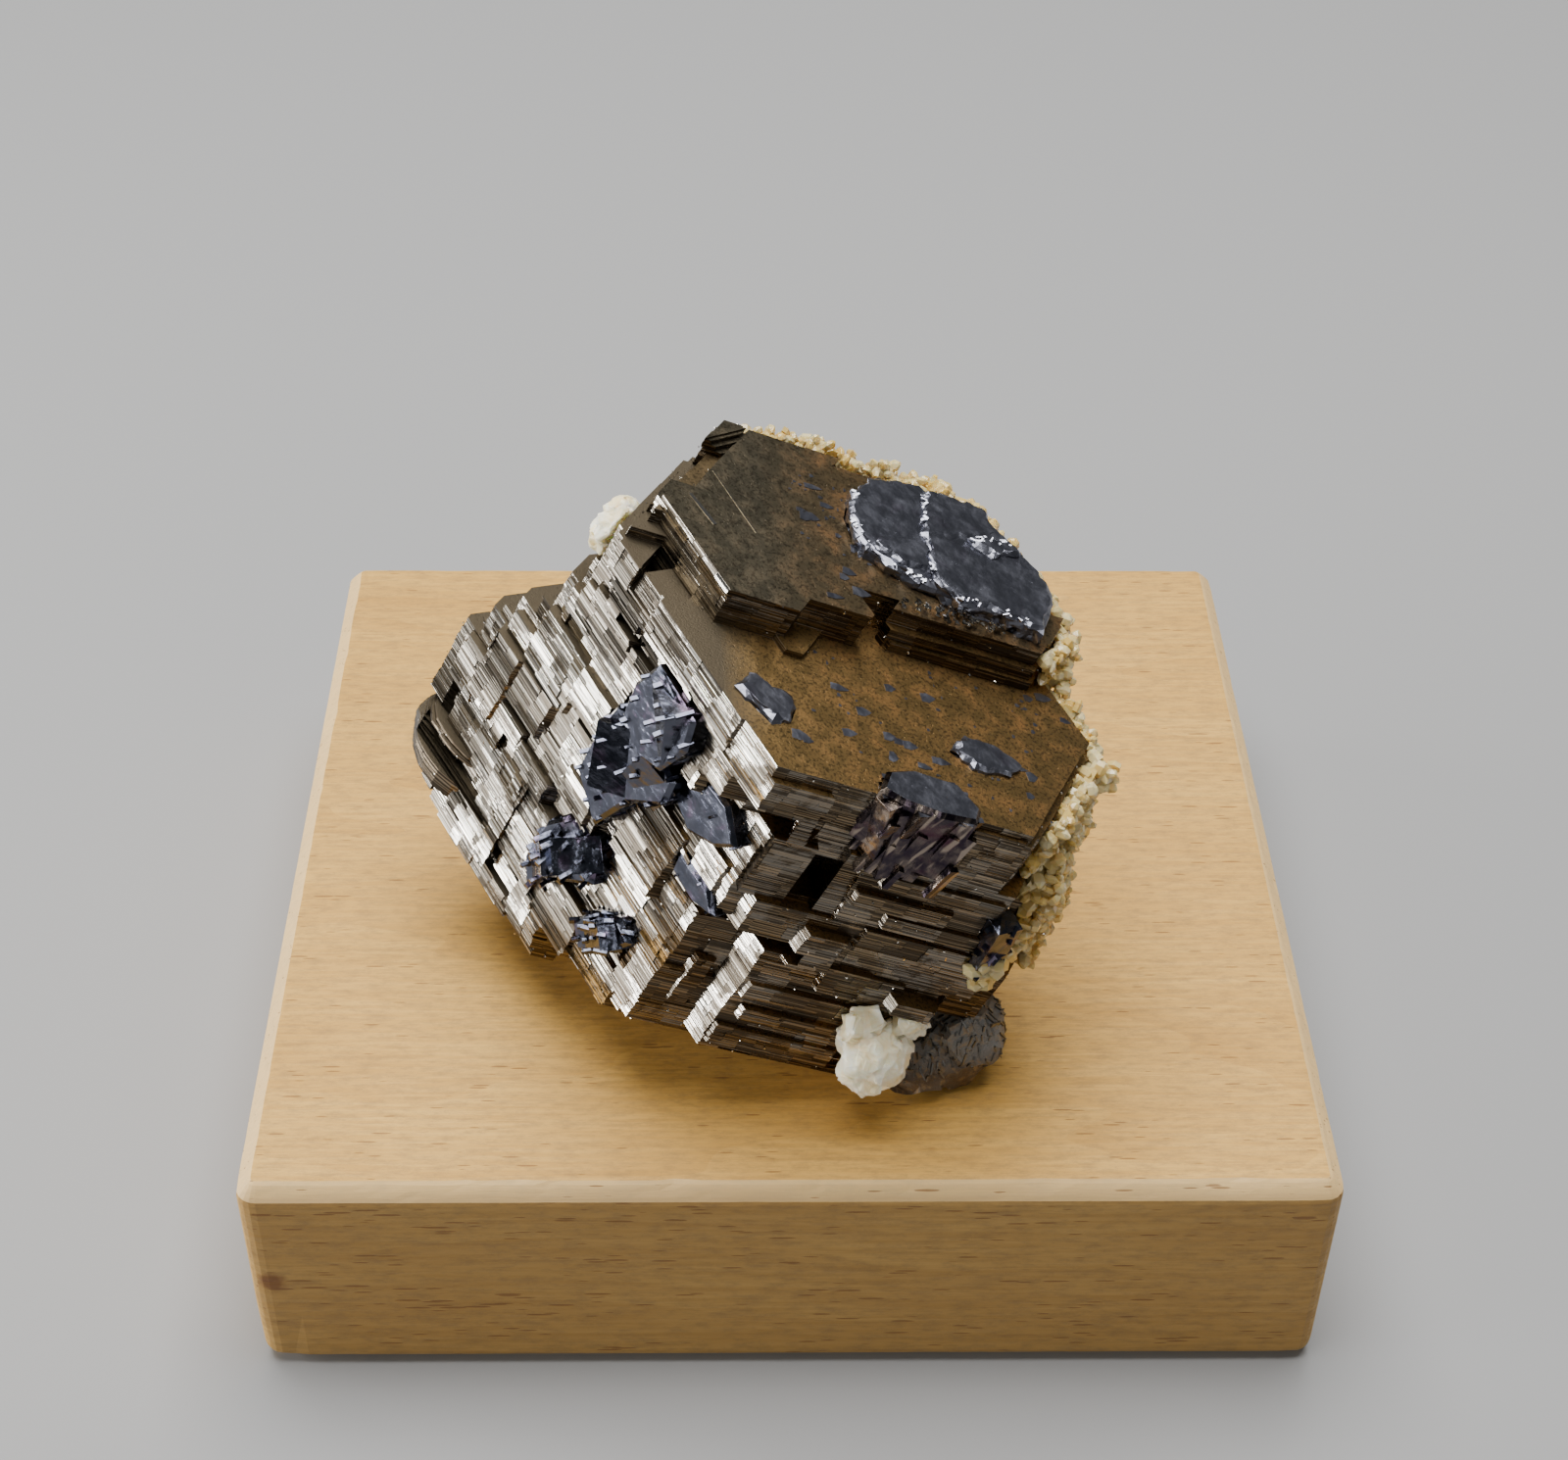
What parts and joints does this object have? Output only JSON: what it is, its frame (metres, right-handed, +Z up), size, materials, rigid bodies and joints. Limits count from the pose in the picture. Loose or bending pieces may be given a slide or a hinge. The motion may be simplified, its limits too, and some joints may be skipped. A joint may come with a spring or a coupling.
{
  "type": "mineral specimen",
  "caption": "Stepped hexagonal metallic bronze crystal with lead-grey crystals, milky knobs and honey druse, leaning on a small planed wooden display block.",
  "frame": {"origin": "centre of the wooden block's underside, on the surface it stands on", "axes": "+X to the right along the block's long edge and its grain, +Y to the back, +Z up; the block's front face looks to -Y"},
  "size_m": [0.08, 0.075, 0.0644],
  "materials": {
    "wood": "planed, unvarnished, straight grain",
    "pyrrhotite": "metallic bronze, striated sides, satin tarnished terraces",
    "galena": "metallic lead grey, smooth cleavage",
    "calcite": "milky, slightly translucent",
    "druse": "honey yellow, glassy small crystals",
    "matrix": "rough, grey and rusty brown"
  },
  "bodies": {
    "root": {"display_block": "wood", "pyrrhotite_crystal": "pyrrhotite", "galena_plate_upper_face": "galena", "galena_crystal_front_edge": "galena", "galena_cluster_left_face": "galena", "galena_wedge_left_face": "galena", "galena_strip_left_edge": "galena", "galena_cluster_lower_left": "galena", "galena_grain_lower_left": "galena", "galena_grain_right_edge": "galena", "galena_chip_terrace": "galena", "galena_lens_terrace": "galena", "calcite_cluster_front": "calcite", "calcite_knob_front": "calcite", "calcite_lump_back_left": "calcite", "druse_crust_back": "druse", "druse_crust_right": "druse", "matrix_foot": "matrix"}
  },
  "joints": []
}
